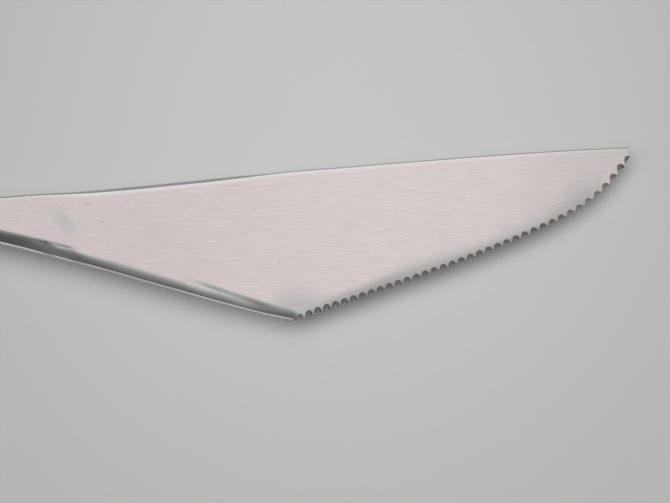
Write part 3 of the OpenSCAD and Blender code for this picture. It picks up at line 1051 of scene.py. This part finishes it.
def pale_table():
    """Pale grey laminate, matt, with painted shade that darkens it a little away from the middle of the
    view.
    """
    material = new_material("pale_table_laminate")
    tree = material.node_tree
    place = add_node(tree, "ShaderNodeTexCoord")
    about = add_node(tree, "ShaderNodeVectorMath", settings={"operation": 'SUBTRACT'},
                     values={1: TABLE_MIDDLE}, links={0: place.outputs["Object"]})
    spread = add_node(tree, "ShaderNodeVectorMath", settings={"operation": 'MULTIPLY'},
                      values={1: TABLE_SPREAD}, links={0: about.outputs["Vector"]})
    away = add_node(tree, "ShaderNodeVectorMath", settings={"operation": 'LENGTH'},
                    links={0: spread.outputs["Vector"]})
    # Painted shade, darker away from the middle of the view
    fall = add_node(tree, "ShaderNodeMapRange", settings={"interpolation_type": 'SMOOTHSTEP'},
                    values={"From Max": TABLE_SHADE_REACH}, links={"Value": away.outputs["Value"]})
    colour = add_node(tree, "ShaderNodeMix", settings={"data_type": 'RGBA'},
                      values={FIRST: linear(TABLE_GREY_AND_SHADE[0]), SECOND: linear(TABLE_GREY_AND_SHADE[1])},
                      links={"Factor": fall.outputs["Result"]})
    shader = add_node(tree, "ShaderNodeBsdfPrincipled",
                      values={"Roughness": TABLE_ROUGH, "Specular IOR Level": TABLE_GLOSS},
                      links={"Base Color": colour.outputs[MIXED]})
    add_node(tree, "ShaderNodeOutputMaterial", links={"Surface": shader.outputs["BSDF"]})
    return material


def make_floor():
    """Table top that the knife lies on."""
    deselect_all()
    bpy.ops.mesh.primitive_plane_add(size=TABLE_SIZE)
    floor = bpy.context.object
    floor.name = "table_top"
    floor.data.materials.append(pale_table())


# Camera, set to the photograph's view, in metres
VIEW_TARGET = Vector((0.0598, -0.00315, 0.0031))
VIEW_DISTANCE = 0.42
VIEW_ELEVATION = math.radians(65.0)
VIEW_NEAREST = 0.01
# Lens and sensor, in millimetres
VIEW_LENS = 146.1
SENSOR_WIDTH = 36.0

# Studio light around the table: lean from straight up towards the back, in degrees, and colour there
STUDIO = [
    (-90, "#989898"), (-75, "#9a9a9a"), (-60, "#a1a1a1"), (-30, "#b0b0b0"), (0, "#cecece"), (12, "#dbdbdb"),
    (25, "#ededed"), (42, "#ffffff"), (60, "#ffffff"), (80, "#cbcbcb"), (90, "#bbbbbb"),
]
# Its strength, the share of it that is left at the sides and how far out that begins
STUDIO_STRENGTH = 1.3
STUDIO_SIDES = 0.55
STUDIO_REACH = 0.35
# Softbox over the table: leans to the back and to the right in degrees, sizes in metres, power in watts
SOFTBOX_LEAN = 2.0
SOFTBOX_SIDE = -2.0
SOFTBOX_DISTANCE = 1.0
SOFTBOX_LENGTH = 2.0
SOFTBOX_WIDTH = 1.2
SOFTBOX_POWER = 13.6
FILL_STRENGTH = 0.55


def make_world():
    """Soft studio that the steel mirrors, lightest a little behind the knife."""
    world = bpy.data.worlds.new("soft_studio")
    bpy.context.scene.world = world
    world.use_nodes = True
    tree = world.node_tree
    tree.nodes.clear()
    place = add_node(tree, "ShaderNodeTexCoord")
    way = add_node(tree, "ShaderNodeSeparateXYZ", links={"Vector": place.outputs["Generated"]})
    lean = add_node(tree, "ShaderNodeMath", settings={"operation": 'ARCTAN2'},
                    links={0: way.outputs["Y"], 1: way.outputs["Z"]})
    share = add_node(tree, "ShaderNodeMapRange", values={"From Min": -math.pi / 2, "From Max": math.pi / 2},
                     links={"Value": lean.outputs["Value"]})
    studio = add_node(tree, "ShaderNodeValToRGB", links={"Fac": share.outputs["Result"]},
                      stops=[(angle / 180 + 0.5, code) for angle, code in STUDIO])
    sideways = add_node(tree, "ShaderNodeMath", settings={"operation": 'ABSOLUTE'},
                        links={0: way.outputs["X"]})
    strength = add_node(tree, "ShaderNodeMapRange", settings={"interpolation_type": 'SMOOTHSTEP'},
                        values={"From Max": STUDIO_REACH, "To Min": STUDIO_STRENGTH,
                                "To Max": STUDIO_STRENGTH * STUDIO_SIDES},
                        links={"Value": sideways.outputs["Value"]})
    background = add_node(tree, "ShaderNodeBackground",
                          links={"Color": studio.outputs["Color"], "Strength": strength.outputs["Result"]})
    add_node(tree, "ShaderNodeOutputWorld", links={"Surface": background.outputs["Background"]})
    world.cycles_visibility.diffuse = False


def hang_lamp(name, data):
    """Lamp that lights the table and keeps out of the steel's reflections."""
    lamp = bpy.data.objects.new(name, data)
    lamp.visible_glossy = False
    bpy.context.scene.collection.objects.link(lamp)
    return lamp


def make_lamps():
    """A wide soft lamp over the table, and a fill from straight above that casts no shadow."""
    softbox = bpy.data.lights.new("softbox", 'AREA')
    softbox.shape = 'RECTANGLE'
    softbox.size = SOFTBOX_LENGTH
    softbox.size_y = SOFTBOX_WIDTH
    softbox.energy = SOFTBOX_POWER
    lamp = hang_lamp("softbox", softbox)
    side = math.tan(math.radians(SOFTBOX_SIDE))
    back = math.tan(math.radians(SOFTBOX_LEAN))
    way = Vector((side, back, 1.0)).normalized()
    lamp.location = VIEW_TARGET + SOFTBOX_DISTANCE * way
    lamp.rotation_euler = way.to_track_quat('Z', 'Y').to_euler()
    fill = bpy.data.lights.new("fill", 'SUN')
    fill.energy = FILL_STRENGTH
    fill.use_shadow = False
    hang_lamp("fill", fill)


def make_camera():
    """Camera that looks down on the blade from the photograph's side."""
    away = Vector((0.0, -math.cos(VIEW_ELEVATION), math.sin(VIEW_ELEVATION)))
    data = bpy.data.cameras.new("photo_view")
    data.sensor_fit = 'HORIZONTAL'
    data.sensor_width = SENSOR_WIDTH
    data.lens = VIEW_LENS
    data.clip_start = VIEW_NEAREST
    camera = bpy.data.objects.new("photo_view", data)
    camera.location = VIEW_TARGET + VIEW_DISTANCE * away
    camera.rotation_euler = (math.pi / 2 - VIEW_ELEVATION, 0.0, 0.0)
    bpy.context.scene.collection.objects.link(camera)
    bpy.context.scene.camera = camera


bpy.context.scene.view_settings.view_transform = 'Standard'
make_camera()
make_world()
make_lamps()
make_floor()

blade = make_blade()
upper_shell, lower_shell, seam_weld = make_handle()
sheet_steel = handle_stainless()
for piece, node, slot, finish in (
    (blade, "blade", "blade_steel", brushed_stainless()),
    (upper_shell, "handle_upper_shell", "handle_steel", sheet_steel),
    (lower_shell, "handle_lower_shell", "handle_steel", sheet_steel),
    (seam_weld, "handle_seam_weld", "weld_steel", weld_stainless()),
):
    piece.data.materials.clear()
    piece.data.materials.append(finish)
    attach(piece, "root")
    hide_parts(node)

# The cement fills the hollow out of sight, so it stays the CAD solid
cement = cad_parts["tang_cement"]
cement.data.materials.clear()
cement.data.materials.append(handle_cement())
